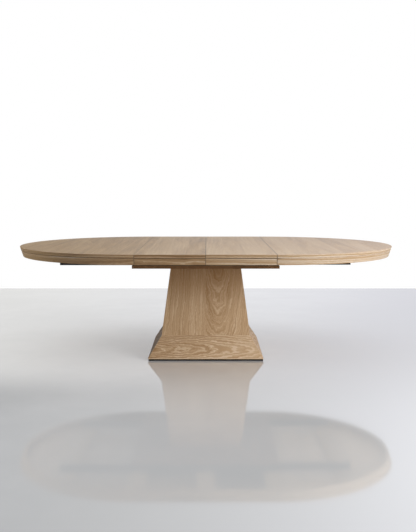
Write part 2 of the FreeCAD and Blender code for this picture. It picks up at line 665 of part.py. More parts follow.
def mitred_panel(profile):
    """Front panel of a square box, mitred at both ends, from (half width, z) corners."""
    left = [Vector(-half, -half, z) for half, z in profile]
    right = [Vector(half, -half, z) for half, z in profile]
    faces = [left, right]
    for index in range(len(profile)):
        following = (index + 1) % len(profile)
        faces.append([left[index], right[index], right[following], left[following]])
    return solid_of(faces)


def column_panel():
    """Front panel of the column."""
    foot = column_half(PLINTH_TOP_Z)
    head = column_half(COLUMN_TOP_Z)
    profile = [
        (foot, PLINTH_TOP_Z),
        (head, COLUMN_TOP_Z),
        (head - COLUMN_WALL, COLUMN_TOP_Z),
        (foot - COLUMN_WALL, PLINTH_TOP_Z),
    ]
    return mitred_panel(profile)


def plinth_panel():
    """Front panel of the plinth: lip, then the flare up to the column."""
    lip_half = PLINTH_WIDTH / 2
    profile = [
        (lip_half, FLOOR_GAP),
        (lip_half, FLOOR_GAP + PLINTH_LIP),
        (plinth_half(PLINTH_TOP_Z), PLINTH_TOP_Z),
        (plinth_half(PLINTH_TOP_Z) - PLINTH_WALL, PLINTH_TOP_Z),
        (plinth_half(FLOOR_GAP) - PLINTH_WALL, FLOOR_GAP),
    ]
    return mitred_panel(profile)


def toe_kick():
    """Four dark strips set back under the plinth."""
    outer = PLINTH_WIDTH / 2 - TOE_INSET
    inner = outer - TOE_STRIP_WIDTH
    strip = mitred_panel([(outer, TOE_CLEARANCE), (outer, FLOOR_GAP), (inner, FLOOR_GAP), (inner, TOE_CLEARANCE)])
    return Part.makeCompound([strip.rotated(ORIGIN, UP, angle) for angle in (0, 90, 180, 270)])


def square(half, z):
    """Corners of a level square round the middle."""
    return [Vector(-half, -half, z), Vector(half, -half, z), Vector(half, half, z), Vector(-half, half, z)]


def block_between(low, high):
    """Solid between two level outlines with the same number of corners."""
    faces = [low, high]
    for index in range(len(low)):
        following = (index + 1) % len(low)
        faces.append([low[index], low[following], high[following], high[index]])
    return solid_of(faces)


def corner_post_outline(z):
    """Corners of one glue post in a corner of the column."""
    outer = column_half(z) - COLUMN_WALL
    inner = outer - CORNER_POST_WIDTH
    return [Vector(inner, inner, z), Vector(outer, inner, z), Vector(outer, outer, z), Vector(inner, outer, z)]


def column_corner_posts():
    """Glue posts in the four corners of the column."""
    post_top = COLUMN_TOP_Z - COLUMN_TOP_BOARD
    post = block_between(corner_post_outline(PLINTH_TOP_Z), corner_post_outline(post_top))
    return Part.makeCompound([post.rotated(ORIGIN, UP, angle) for angle in (0, 90, 180, 270)])


def column_board(z_low, z_high):
    """Board that fills the inside of the column between two heights."""
    low = square(column_half(z_low) - COLUMN_WALL, z_low)
    high = square(column_half(z_high) - COLUMN_WALL, z_high)
    return block_between(low, high)


def plinth_board(z_low, z_high):
    """Board that fills the inside of the plinth between two heights."""
    low = square(plinth_half(z_low) - PLINTH_WALL, z_low)
    high = square(plinth_half(z_high) - PLINTH_WALL, z_high)
    return block_between(low, high)


def four_places(offset):
    """The four corners of a level square."""
    return [(x, y) for x in (-offset, offset) for y in (-offset, offset)]


def base_bolt(x, y, clearance=HOLE_CLEARANCE):
    """Bolt from the sub-top board into the column's top board, or its hole."""
    steps = [
        (BASE_BOLT_RADIUS, COLUMN_TOP_Z - BASE_BOLT_BITE, SUBTOP_TOP_Z),
        (BASE_BOLT_HEAD_RADIUS, SUBTOP_TOP_Z, SUBTOP_TOP_Z + BASE_BOLT_HEAD_HEIGHT),
    ]
    return stepped_rod(x, y, steps, clearance)


def column_top_board():
    """Board at the head of the column that takes the bolts."""
    board = column_board(COLUMN_TOP_Z - COLUMN_TOP_BOARD, COLUMN_TOP_Z)
    return drilled(board, [base_bolt(x, y) for x, y in four_places(BASE_BOLT_OFFSET)])


def column_inner_shelf():
    """Brace board part way up the column, notched round the glue posts."""
    middle = PLINTH_TOP_Z + SHELF_HEIGHT_SHARE * (COLUMN_TOP_Z - PLINTH_TOP_Z)
    board = column_board(middle - INNER_BOARD / 2, middle + INNER_BOARD / 2)
    return drilled(board, column_corner_posts().Solids)


def foot_insert(x, y, clearance=0.0):
    """Flanged sleeve in the base board, or its hole."""
    board_top = FLOOR_GAP + INNER_BOARD
    steps = [
        (INSERT_RADIUS, FLOOR_GAP, board_top),
        (INSERT_FLANGE_RADIUS, board_top, board_top + INSERT_FLANGE),
    ]
    return stepped_rod(x, y, steps, clearance)


def foot_inserts():
    """Sleeves that the levelling feet screw into."""
    sleeves = []
    for x, y in four_places(FOOT_OFFSET):
        bore = rod(STEM_RADIUS + STEM_CLEARANCE, x, y, 0, FLOOR_GAP + STEM_LENGTH)
        sleeves.append(drilled(foot_insert(x, y), [bore]))
    return Part.makeCompound(sleeves)


def plinth_base_board():
    """Board at the bottom of the plinth, bored for the sleeves."""
    board = plinth_board(FLOOR_GAP, FLOOR_GAP + INNER_BOARD)
    return drilled(board, [foot_insert(x, y, HOLE_CLEARANCE) for x, y in four_places(FOOT_OFFSET)])


def levelling_foot(x, y):
    """Round foot with a stem."""
    pad = rod(FOOT_RADIUS, x, y, 0, FOOT_HEIGHT)
    rim = [edge for edge in pad.Edges if isinstance(edge.Curve, Part.Circle)]
    pad = pad.makeChamfer(FOOT_EDGE, rim)
    return pad.fuse(rod(STEM_RADIUS, x, y, FOOT_HEIGHT, FOOT_HEIGHT + STEM_LENGTH)).removeSplitter()


def subtop_board():
    """Board on the column that carries the guides and the pinion."""
    half_length = SUBTOP_LENGTH / 2
    half_depth = SUBTOP_DEPTH / 2
    board = box(-half_length, half_length, -half_depth, half_depth, COLUMN_TOP_Z, SUBTOP_TOP_Z)
    bolt_holes = [base_bolt(x, y) for x, y in four_places(BASE_BOLT_OFFSET)]
    screw_holes = [guide_screw(x, y) for x, y in guide_screw_places()]
    return drilled(board, bolt_holes + screw_holes + [pinion_stud(HOLE_CLEARANCE)])


def pedestal_pieces():
    """Everything that stands still."""
    pieces = {}
    for side, angle in (("front", 0), ("right", 90), ("rear", 180), ("left", 270)):
        pieces["column_" + side + "_panel"] = column_panel().rotated(ORIGIN, UP, angle)
        pieces["plinth_" + side + "_panel"] = plinth_panel().rotated(ORIGIN, UP, angle)
    pieces["column_corner_posts"] = column_corner_posts()
    pieces["column_top_board"] = column_top_board()
    pieces["column_inner_shelf"] = column_inner_shelf()
    pieces["plinth_top_board"] = plinth_board(PLINTH_TOP_Z - INNER_BOARD, PLINTH_TOP_Z)
    pieces["plinth_base_board"] = plinth_base_board()
    pieces["toe_kick"] = toe_kick()
    pieces["foot_inserts"] = foot_inserts()
    pieces["subtop_board"] = subtop_board()
    bolts = [base_bolt(x, y, 0.0) for x, y in four_places(BASE_BOLT_OFFSET)]
    pieces["pedestal_bolts"] = Part.makeCompound(bolts)
    pieces["front_slide_guide"] = slide_guide(-GUIDE_Y)
    pieces["rear_slide_guide"] = slide_guide(GUIDE_Y)
    screws = [guide_screw(x, y, 0.0) for x, y in guide_screw_places()]
    pieces["guide_screws"] = Part.makeCompound(screws)
    pieces["pinion_stud"] = pinion_stud()
    pieces["rack_guide_blocks"] = rack_guide_blocks()
    return pieces


def moving_pieces():
    """Halves, leaves, pinion, latches and feet."""
    left = {
        "top_panel": left_slab(),
        "apron": left_apron(),
        "cleats": left_cleats(),
        "rack": left_rack(),
        "alignment_pins": left_pins(),
        "half_screws": left_half_screws(),
        "leaf_panel": left_leaf_slab(),
        "leaf_cleats": left_leaf_cleats(),
        "leaf_keepers": left_leaf_keepers(),
        "leaf_pads": left_leaf_pads(),
    }
    pieces = {}
    for name, shape in left.items():
        pieces["left_" + name] = shape
        pieces["right_" + name] = half_turn(shape)
    for side, opposite, sign in (("front", "rear", -1), ("rear", "front", 1)):
        runner = left_runner(sign * GUIDE_Y)
        pieces["left_" + side + "_runner"] = runner
        pieces["right_" + opposite + "_runner"] = half_turn(runner)
        apron = left_leaf_apron(sign)
        pieces["left_leaf_" + side + "_apron"] = apron
        pieces["right_leaf_" + opposite + "_apron"] = half_turn(apron)
    rear_latch = rear_left_latch()
    front_latch = rear_latch.mirror(ORIGIN, Vector(0, 1, 0))
    pieces["left_rear_latch"] = rear_latch
    pieces["right_front_latch"] = half_turn(rear_latch)
    pieces["left_front_latch"] = front_latch
    pieces["right_rear_latch"] = half_turn(front_latch)
    pieces["equalizer_pinion"] = pinion()
    for side, x in (("left", -FOOT_OFFSET), ("right", FOOT_OFFSET)):
        for end, y in (("front", -FOOT_OFFSET), ("rear", FOOT_OFFSET)):
            pieces["foot_" + end + "_" + side] = levelling_foot(x, y)
    return pieces


os.makedirs("parts", exist_ok=True)
for node, shape in list(pedestal_pieces().items()) + list(moving_pieces().items()):
    shape.exportStep("parts/" + node + ".step")
    print(node, len(shape.Solids), round(shape.Volume), shape.isValid())
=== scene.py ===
"""Looks of an extending oak dining table on one flared pedestal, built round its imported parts.

Metres, +Z up, +X along the table, the front faces -Y.
"""

import bpy
import json
import math
from collections import namedtuple
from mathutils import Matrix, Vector

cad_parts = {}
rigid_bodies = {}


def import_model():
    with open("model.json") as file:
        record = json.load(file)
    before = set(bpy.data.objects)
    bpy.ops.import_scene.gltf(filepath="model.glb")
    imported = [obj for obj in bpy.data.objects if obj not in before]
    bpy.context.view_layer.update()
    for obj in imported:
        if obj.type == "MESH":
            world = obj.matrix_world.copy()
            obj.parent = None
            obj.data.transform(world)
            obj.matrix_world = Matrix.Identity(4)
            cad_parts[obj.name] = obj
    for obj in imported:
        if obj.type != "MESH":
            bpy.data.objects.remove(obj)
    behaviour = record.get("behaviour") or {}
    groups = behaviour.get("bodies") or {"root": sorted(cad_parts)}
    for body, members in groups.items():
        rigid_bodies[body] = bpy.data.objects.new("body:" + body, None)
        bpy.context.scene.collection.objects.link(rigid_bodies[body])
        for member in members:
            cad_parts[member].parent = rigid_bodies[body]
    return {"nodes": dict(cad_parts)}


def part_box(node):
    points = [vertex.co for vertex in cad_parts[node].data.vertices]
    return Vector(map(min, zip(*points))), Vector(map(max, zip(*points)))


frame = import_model()
nodes = frame["nodes"]
for thing in list(bpy.data.objects):
    if thing.name not in nodes and not thing.name.startswith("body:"):
        bpy.data.objects.remove(thing)
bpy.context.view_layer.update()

# Soft noise: how fine it is along each axis, and its detail and roughness
Noise = namedtuple("Noise", "stretch detail roughness", defaults=(2.0, 0.5))
# Fine relief of a surface: how strong it is, and how deep in metres
Relief = namedtuple("Relief", "strength depth")
# Colours of one kind of wood
Tones = namedtuple("Tones", "dark middle pale")
# Dark paint, anodising or plastic, with its fine tooth
Dark = namedtuple("Dark", "low high tooth roughness relief specular")

# Figure of an oak surface, which lies in strips of veneer that show the rings of a log
# flitch is the width of a strip, and boards how much the tones of the strips differ
# lean is how far the pith lies to the side, left and right of the middle, and spread how much that differs
# depth is how far the pith lies behind the face, and taper how that grows along the grain
# sway and wobble are the slow and the quick wandering of the rings
# streaks is how fine the streaks among the rings are, and contrast how strong rings and streaks are
# cloud, ribbon, lines and glint are the strengths of mottle, broad stripes, ring lines and pale glints
# shift makes the whole paler, and seed picks the log
Figure = namedtuple(
    "Figure",
    "flitch boards lean depth spread taper sway wobble streaks contrast cloud ribbon lines glint shift seed",
)

WHITE = (1, 1, 1, 1)

# Camera, for a picture 416 pixels wide and 532 high
FOCAL_PIXELS = 797.6
PICTURE_HEIGHT = 532
HORIZON_ROW = 186.1
SENSOR_SIZE = 36.0
CAMERA_PLACE = (0.0152, -5.892, 1.2045)

# Floor
FLOOR_HALF = 30.0
FLOOR_OPENING_SHARE = 0.9
FLOOR_COLOUR = (0.74, 0.745, 0.755, 1.0)
FLOOR_DARKER = (0.68, 0.686, 0.697, 1.0)
FLOOR_LIT = (0.47, 0.474, 0.48, 1.0)
FLOOR_LIT_LEAN = -0.35
FLOOR_LIT_ACROSS = (-0.6, 1.6)
FLOOR_CLOUDS = Noise((0.9, 0.9, 0.9), 4.0, 0.6)
FLOOR_CLOUDED = (0.35, 0.65)
FLOOR_ROUGHNESS = 0.06
FLOOR_ROUGHER = 0.03
FLOOR_RELIEF = Relief(0.02, 0.001)
FLOOR_SPECULAR = 1.0
FLOOR_IOR = 1.8

# Walls, which reflections show dimmer towards the left and above a height
WALL_DISTANCE = 3.5
WALL_HEIGHT = 6.0
MIRRORED_COLOURS = ((1.0, 0.985, 0.95, 1.0), (1.0, 1.0, 1.08, 1.0))
MIRRORED_DARK = 0.10
MIRRORED_BRIGHT = 1.0
MIRRORED_FROM = (0.9, 1.3)
MIRRORED_ACROSS = (-3.3, 3.0)

# Light from the sky and from the right
SKY_LOW = 0.10
SKY_HIGH = 1.0
SKY_COLOUR = (0.98, 0.99, 1.0, 1)
WINDOW_PLACE = (3.4, -3.2, 1.6)
WINDOW_TARGET = (0.2, -0.3, 0.6)
WINDOW_WIDTH = 2.8
WINDOW_HEIGHT = 2.0
WINDOW_WATTS = 190.0

# Places read from the frame
PLINTH_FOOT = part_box("plinth_front_panel")[0].z
HALF_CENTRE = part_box("right_top_panel")[0].x
LEAF_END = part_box("right_leaf_panel")[1].x
SLAB_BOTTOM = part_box("right_apron")[1].z
TOP_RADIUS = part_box("right_top_panel")[1].y

# Rings of the oak: their width, the share that is early wood, and how far strips are slipped along the log
RING_WIDTH = 0.0052
EARLY_SHARE = 0.45
SLIP_REACH = 9.0
SWAY = Noise((3.5, 3.0, 3.0))
WOBBLE = Noise((14.0, 34.0, 34.0), 3.0, 0.62)

# Marks of the oak: across and along the rings, then along, across and into the grain
STREAKS = Noise((1.0, 0.5, 1.0), 2.0, 0.6)
BANDS = Noise((24.0, 0.35, 1.0), 1.0)
GLINTS = Noise((190.0, 4.0, 1.0), 2.0, 0.6)
GLINT_FROM = (0.48, 0.75)
MOTTLE = Noise((2.0, 9.0, 9.0), 3.0)
RIBBONS = Noise((1.4, 30.0, 30.0))
PORES = Noise((48.0, 1300.0, 1300.0), 1.0)
PORE_FROM = (0.56, 0.68)
PORE_IN_LATE = 0.35
FLECKS = Noise((90.0, 420.0, 420.0), 1.0)
FLECK_FROM = (0.64, 0.74)

# Pale ring lines: how many to a ring, where in that stretch, how wide, and how much darker the whole is
LINE_SHARE = 0.5
LINE_PLACE = 0.5
LINE_REACH = 0.3
LINE_OFF_SHARE = 0.3

# What each mark does to the shade, the roughness and the height of the wood
MIDDLE_SHADE = 0.55
RING_REACH = 0.50
STREAK_REACH = 1.00
BAND_REACH = 0.30
EARLY_REACH = 0.26
FLECK_PALER = 0.10
PORE_PALER = -0.30
OAK_ROUGHNESS = 0.54
PORE_ROUGHER = 0.16
EARLY_ROUGHER = 0.05
MOTTLE_ROUGHER = 0.12
PORE_HIGHER = -0.7
EARLY_HIGHER = -0.25
FLECK_HIGHER = 0.15
OAK_RELIEF = Relief(0.35, 0.0004)

# Eased edges of all pieces, and the wear on them, partly a painted highlight
# EDGE_TURN is 1 less the cosine of the turn that counts as a full edge
EASED_EDGE = 0.0012
EDGE_SAMPLES = 6
EDGE_TURN = 0.18
WEAR_AND_HIGHLIGHT_REACH = 0.0035
WEAR_AND_HIGHLIGHT_PATCHES = Noise((14.0, 14.0, 14.0), 3.0)
WEAR_AND_HIGHLIGHT_FROM = (0.38, 0.66)
WEAR_AND_HIGHLIGHT_LEAST = 0.15
WEAR_AND_HIGHLIGHT_MORE = 0.3

# Tones of the woods
TOP_TONES = Tones((0.32, 0.195, 0.095, 1), (0.50, 0.330, 0.175, 1), (0.64, 0.465, 0.285, 1))
EDGE_TONES = Tones((0.16, 0.086, 0.036, 1), (0.34, 0.222, 0.118, 1), (0.52, 0.434, 0.345, 1))
BODY_TONES = Tones((0.26, 0.144, 0.064, 1), (0.45, 0.300, 0.170, 1), (0.61, 0.460, 0.318, 1))
RAW_TONES = Tones((0.34, 0.22, 0.12, 1), (0.52, 0.37, 0.22, 1), (0.62, 0.47, 0.31, 1))
STAINED_TONES = Tones((0.09, 0.040, 0.013, 1), (0.17, 0.082, 0.030, 1), (0.25, 0.135, 0.06, 1))

# Figures of the surfaces
BOARD = Figure(
    flitch=0.30, boards=0.12, lean=(0.10, 0.10), depth=0.19, spread=0.2, taper=0.03, sway=0.06, wobble=0.006,
    streaks=110.0, contrast=1.0, cloud=0.4, ribbon=0.0, lines=0.0, glint=0.0, shift=0.0, seed=0.0,
)
RIM = BOARD._replace(lean=(0.16, 0.16), taper=0.008, sway=0.012, wobble=0.005, contrast=0.85, lines=0.2)
FLAT = BOARD._replace(
    flitch=0.128, boards=0.26, lean=(0.0, 0.0), spread=0.55, sway=0.05,
    streaks=220.0, contrast=0.38, cloud=0.8, glint=0.15,
)
UPRIGHT = BOARD._replace(
    flitch=0.32, depth=0.17, spread=0.02, taper=-0.18, sway=0.06,
    wobble=0.026, streaks=150.0, contrast=0.5, lines=0.2, glint=0.35,
)
LEVEL = BOARD._replace(
    flitch=0.40, lean=(0.117, 0.117), depth=0.06, spread=0.02, taper=0.085, sway=0.015,
    wobble=0.022, streaks=190.0, contrast=0.5, lines=0.46, glint=0.4,
)
INNER = BOARD._replace(flitch=0.09, spread=0.3, sway=0.08, contrast=0.7)

# Flat faces of the top: how level a face is there, and how much paler it is by side and towards the rear,
# which is painted light
FLAT_FROM = (0.6, 0.8)
FLAT_PAINTED_LIGHT = {"left": 0.0, "right": 0.07}
FLAT_PAINTED_LIGHT_SLOPE = -0.13
FLAT_RIBBONS = {"left": 0.8, "right": 0.5}
FLAT_ROUGHER = -0.20
TOP_SPECULAR = 0.35

# Edge of the top: how much paler it is by piece, painted light making it paler towards the right, and the
# painted light colour of its left end
EDGE_PAINTED_LIGHT_SLOPE = 0.4
EDGE_PAINTED_LIGHT_END = 0.6
EDGE_SHIFTS = {
    "left_top_oak": 0.0,
    "left_apron_oak": 0.11,
    "left_leaf_oak": -0.22,
    "left_leaf_apron_oak": -0.23,
    "right_leaf_oak": -0.03,
    "right_leaf_apron_oak": -0.15,
    "right_top_oak": 0.0,
    "right_apron_oak": -0.04,
}
LEFT_END = (0.8, 1.30)
LEFT_END_PAINTED_LIGHT_COLOUR = (0.58, 0.36, 0.155, 1)
LEFT_END_PAINTED_LIGHT_SHARE = 0.75
APRON_SPECULAR = 0.3

# Dark lines of the top: the seams, dark joints with painted shade, and the groove, painted shade whose
# strength steps from left to right
JOINT_SHADE_COLOUR = (0.05, 0.032, 0.018, 1)
SEAM_SHADE = 0.0040
SEAM_STRENGTH = 0.65
FLAT_SEAM_LEFT = 0.30
FLAT_SEAM_RIGHT = 0.6
GROOVE_SHADE = 0.0034
GROOVE_LEFT = 0.1
GROOVE_STEPS = (((-1.3, -0.2), 0.55), ((0.0, 0.15), 0.9), ((0.44, 0.50), 0.0))

# Pedestal: how much paler it is by panel, as painted shade on the plinth's side panels, and towards the
# right, as painted light from the right, with painted shade making the column head darker and warmer under
# the top
COLUMN_LEAN = (0.30, 0.077)
COLUMN_SHIFT = -0.05
COLUMN_PAINTED_LIGHT_SLOPE = 0.35
COLUMN_HEAD = (0.30, 0.72)
COLUMN_HEAD_PAINTED_SHADE = -0.22
COLUMN_HEAD_SHADE_COLOUR = (0.36, 0.185, 0.075, 1)
COLUMN_HEAD_SHADE_SHARE = 0.5
# painted shade: the plinth's side panels are darker than its front and rear
PLINTH_PAINTED_SHADES = {"front": 0.0, "right": -0.28, "rear": 0.0, "left": -0.09}
PLINTH_PAINTED_LIGHT_SLOPE = 0.6
PLINTH_STRETCH = 1.18
# painted highlight: the height of the lip at the plinth's foot and how much paler it is
LIP_HEIGHT = 0.006
LIP_HIGHLIGHT_SHARE = 0.6
PEDESTAL_SPECULAR = 0.18

# Seeds of the logs. Those of a leaf, an apron and an edge are added to the seed of their side of the top
TOP_SEEDS = {"left": 3.0, "right": 11.0}
LEAF_SEED = 2.0
APRON_SEED = 4.0
LEAF_APRON_SEED = 6.0
EDGE_SEED = 40.0
COLUMN_SEED = 20.0
PLINTH_SEED = 30.0
CLEAT_SEED = 50.0
POST_SEED = 52.0
BOARD_SEED = 54.0
SUBTOP_SEED = 56.0

# Wood without lacquer, and the order of the axes for grain along each of them
RAW_ROUGHER = 0.15
STAINED_ROUGHER = 0.05
RAW_RELIEF = Relief(0.5, 0.0005)
RAW_SPECULAR = 0.3
GRAIN_AXES = {"x": (0, 1, 2), "y": (1, 0, 2), "z": (2, 0, 1)}

# Dark finishes
# black paint of the toe kick, so dark that it also stands for painted shade in the gap under the plinth
TOE_PAINT_AND_SHADE = Dark(
    low=(0.003, 0.002, 0.001, 1), high=(0.009, 0.006, 0.004, 1),
    tooth=Noise((300.0, 300.0, 300.0), 3.0, 0.6), roughness=0.75, relief=Relief(0.3, 0.0002), specular=0.06,
)
ANODISED = Dark(
    low=(0.006, 0.006, 0.006, 1), high=(0.016, 0.016, 0.017, 1),
    tooth=Noise((12.0, 900.0, 900.0), 3.0, 0.6), roughness=0.5, relief=Relief(0.15, 0.0002), specular=0.15,
)
NYLON = Dark(
    low=(0.018, 0.018, 0.018, 1), high=(0.035, 0.035, 0.035, 1),
    tooth=Noise((700.0, 700.0, 700.0), 3.0, 0.6), roughness=0.5, relief=Relief(0.35, 0.0002), specular=0.5,
)
DARK_CLOUDS = Noise((9.0, 9.0, 9.0))
TOOTH_ROUGHER = 0.2
CLOUD_ROUGHER = 0.1
RUBBED_REACH = 0.001
RUBBED_SHARE = 0.2
RUBBED_TIMES = 2

# Zinc plated steel
ZINC_COLOURS = ((0.42, 0.42, 0.43, 1), (0.62, 0.62, 0.61, 1))
ZINC_LINES = Noise((25.0, 900.0, 900.0), 3.0, 0.6)
ZINC_PATCHES = Noise((60.0, 60.0, 60.0), 3.0)
ZINC_ROUGHNESS = 0.38
ZINC_PATCH_ROUGHER = 0.3
ZINC_LINE_ROUGHER = 0.15
ZINC_RELIEF = Relief(0.15, 0.0001)

# How a fine noise on a broad one turns into a share of the paler colour, for dark finishes and zinc
FINE_REACH = 0.6
BROAD_FROM = (0.3, 0.7)


class Graph:
    """The nodes of one material or world, made by short calls that take and return sockets."""

    def __init__(self, name, holder=None):
        self.holder = holder or bpy.data.materials.new(name)
        self.holder.use_nodes = True
        self.tree = self.holder.node_tree
        self.tree.nodes.clear()

    def feed(self, socket, value):
        """Links a socket to an input, or sets the input."""
        if isinstance(value, bpy.types.NodeSocket):
            self.tree.links.new(value, socket)
        else:
            socket.default_value = value

    def node(self, kind, inputs=None, **settings):
        """New node with these settings and inputs."""
        made = self.tree.nodes.new("ShaderNode" + kind)
        for name, value in settings.items():
            setattr(made, name, value)
        for name, value in (inputs or {}).items():
            self.feed(made.inputs[name], value)
        return made

    def math(self, operation, *values):
        """Result of one operation on numbers."""
        made = self.node("Math", operation=operation)
        for socket, value in zip(made.inputs, values):
            self.feed(socket, value)
        return made.outputs[0]

    def add(self, *values):
        """Sum of any number of values."""
        total = values[0]
        for value in values[1:]:
            total = self.math("ADD", total, value)
        return total

    def times(self, first, second):
        """Product of two values."""
        return self.math("MULTIPLY", first, second)

    def less(self, share):
        """What a share leaves of 1."""
        return self.math("SUBTRACT", 1.0, share)

    def swing(self, value, reach):
        """A value from 0 to 1, turned into one about zero that goes over this reach in all."""
        return self.math("MULTIPLY_ADD", value, reach, -reach / 2)

    def smooth(self, value, low, high):
        """0 below low, 1 above high, and a smooth rise between."""
        made = self.node("MapRange", interpolation_type="SMOOTHSTEP")
        for socket, number in zip(made.inputs, (value, low, high)):
            self.feed(socket, number)
        return made.outputs[0]

    def near(self, value, place, reach):
        """1 close to this place of a value, and 0 further off than this reach."""
        off = self.math("ABSOLUTE", self.math("SUBTRACT", value, place))
        return self.less(self.smooth(off, reach / 4, reach))

    def split(self, vector):
        """The three parts of a vector."""
        return self.node("SeparateXYZ", {"Vector": vector}).outputs

    def point(self, x, y, z):
        """A vector from its three parts."""
        return self.node("CombineXYZ", {"X": x, "Y": y, "Z": z}).outputs[0]

    def noise(self, vector, kind):
        """Soft noise of this kind, about one half."""
        stretched = self.node("VectorMath", operation="MULTIPLY")
        self.feed(stretched.inputs[0], vector)
        self.feed(stretched.inputs[1], kind.stretch)
        inputs = {"Scale": 1.0, "Detail": kind.detail, "Roughness": kind.roughness}
        return self.node("TexNoise", {"Vector": stretched.outputs[0], **inputs}).outputs[0]

    def chance(self, value):
        """Three random shares that stay the same for the same value."""
        return self.split(self.node("TexWhiteNoise", {"W": value}, noise_dimensions="1D").outputs["Color"])

    def mix(self, share, first, second):
        """Blend of two colours, whose sockets share their names with others and so go by number."""
        made = self.node("Mix", data_type="RGBA")
        self.feed(made.inputs[0], share)
        self.feed(made.inputs[6], first)
        self.feed(made.inputs[7], second)
        return made.outputs[2]

    def blend(self, share, first, second):
        """Blend of two numbers, by the numbers of their sockets too."""
        made = self.node("Mix", data_type="FLOAT")
        self.feed(made.inputs[0], share)
        self.feed(made.inputs[2], first)
        self.feed(made.inputs[3], second)
        return made.outputs[0]

    def place(self):
        """Place on the piece, in metres, riding with it."""
        return self.node("TexCoord").outputs["Object"]

    def facing(self):
        """Direction that the surface faces, riding with the piece."""
        return self.node("TexCoord").outputs["Normal"]

    def backface(self):
        """1 on the back of a face and 0 on its front."""
        return self.node("NewGeometry").outputs["Backfacing"]

    def ray(self, kind):
        """1 for rays of this kind, such as Camera or Glossy, and 0 for the others."""
        return self.node("LightPath").outputs["Is " + kind + " Ray"]

    def rounded(self, reach):
        """Normal of the surface with its edges rounded over this reach."""
        return self.node("Bevel", {"Radius": reach}, samples=EDGE_SAMPLES).outputs[0]

    def edge(self, reach):
        """How near a place is to an edge of its piece, from 0 to 1."""
        made = self.node("VectorMath", operation="DOT_PRODUCT")
        self.feed(made.inputs[0], self.rounded(reach))
        self.feed(made.inputs[1], self.node("NewGeometry").outputs["Normal"])
        return self.smooth(self.less(made.outputs["Value"]), 0.0, EDGE_TURN)

    def surface(self, colour, roughness, height, relief, **constants):
        """Shader from its colour, roughness and height, with the other values set once."""
        inputs = {"Height": height, "Strength": relief.strength, "Distance": relief.depth}
        raised = self.node("Bump", {"Normal": self.rounded(EASED_EDGE), **inputs}).outputs[0]
        inputs = {"Base Color": colour, "Roughness": roughness, "Normal": raised}
        shader = self.node("BsdfPrincipled", inputs)
        for name, value in constants.items():
            shader.inputs[name.replace("_", " ")].default_value = value
        return shader.outputs[0]

    def clear(self):
        """Shader that lets all light through."""
        return self.node("BsdfTransparent").outputs[0]

    def mix_shaders(self, share, first, second):
        """Blend of two shaders."""
        made = self.node("MixShader")
        for socket, value in zip(made.inputs, (share, first, second)):
            self.feed(socket, value)
        return made.outputs[0]

    def finish(self, shader):
        """The material, with this shader as its surface."""
        self.node("OutputMaterial", {"Surface": shader})
        return self.holder


def log_place(g, grain, figure):
    """Place in the log, its part along the grain, distance to the pith, and tone of the strip of veneer."""
    along, across, deep = g.split(grain)
    strip = g.math("FLOOR", g.math("DIVIDE", across, figure.flitch))
    tone, slip, turn = g.chance(g.add(strip, figure.seed))
    middle = g.times(g.add(strip, 0.5), figure.flitch)
    lean = g.blend(g.math("LESS_THAN", across, 0.0), figure.lean[1], figure.lean[0])
    side = g.add(g.math("SUBTRACT", across, middle), lean, g.swing(turn, figure.spread))
    cut = g.add(along, g.times(slip, SLIP_REACH), figure.seed)
    log = g.point(cut, across, deep)
    sway = g.swing(g.noise(log, SWAY), figure.sway)
    wobble = g.swing(g.noise(log, WOBBLE), figure.wobble)
    away = g.add(g.times(along, figure.taper), sway, figure.depth)
    radius = g.add(g.math("SQRT", g.add(g.times(side, side), g.times(away, away))), wobble)
    return log, cut, radius, tone


def toned(g, shade, tones):
    """Colour for a shade: dark at 0, middle at one half and pale at 1."""
    low = g.mix(g.times(shade, 2.0), tones.dark, tones.middle)
    return g.mix(g.math("MULTIPLY_ADD", shade, 2.0, -1.0), low, tones.pale)


def oak(g, grain, figure, tones):
    """Oak at a place given along, across and into the grain: colour, roughness and height."""
    log, cut, radius, tone = log_place(g, grain, figure)
    count = g.math("DIVIDE", radius, RING_WIDTH)
    ring = g.chance(g.math("FLOOR", count))[0]
    early = g.less(g.smooth(g.math("FRACT", count), 0.0, EARLY_SHARE))
    streak = g.noise(g.point(g.times(radius, figure.streaks), cut, figure.seed), STREAKS)
    band = g.noise(g.point(radius, cut, tone), BANDS)
    glint = g.smooth(g.noise(g.point(radius, cut, figure.seed), GLINTS), *GLINT_FROM)
    mottle = g.noise(log, MOTTLE)
    fleck = g.smooth(g.noise(log, FLECKS), *FLECK_FROM)
    pore = g.times(g.smooth(g.noise(log, PORES), *PORE_FROM), g.add(PORE_IN_LATE, early))

    figured = g.add(
        g.swing(ring, RING_REACH),
        g.swing(streak, STREAK_REACH),
        g.swing(band, BAND_REACH),
        g.swing(early, EARLY_REACH),
    )
    fine = g.add(g.times(fleck, FLECK_PALER), g.times(pore, PORE_PALER), g.times(glint, figure.glint))
    plain = g.add(g.swing(tone, figure.boards), g.swing(mottle, figure.cloud), MIDDLE_SHADE, figure.shift)
    if figure.lines:
        line = g.near(g.math("FRACT", g.times(count, LINE_SHARE)), LINE_PLACE, LINE_REACH)
        plain = g.add(plain, g.times(line, figure.lines), -LINE_OFF_SHARE * figure.lines)
    if figure.ribbon:
        plain = g.add(plain, g.swing(g.noise(log, RIBBONS), figure.ribbon))
    colour = toned(g, g.add(g.times(figured, figure.contrast), fine, plain), tones)

    roughness = g.add(
        g.times(pore, PORE_ROUGHER),
        g.times(early, EARLY_ROUGHER),
        g.swing(mottle, MOTTLE_ROUGHER),
        OAK_ROUGHNESS,
    )
    height = g.add(
        g.times(pore, PORE_HIGHER),
        g.times(early, EARLY_HIGHER),
        g.times(fleck, FLECK_HIGHER),
    )
    return colour, roughness, height


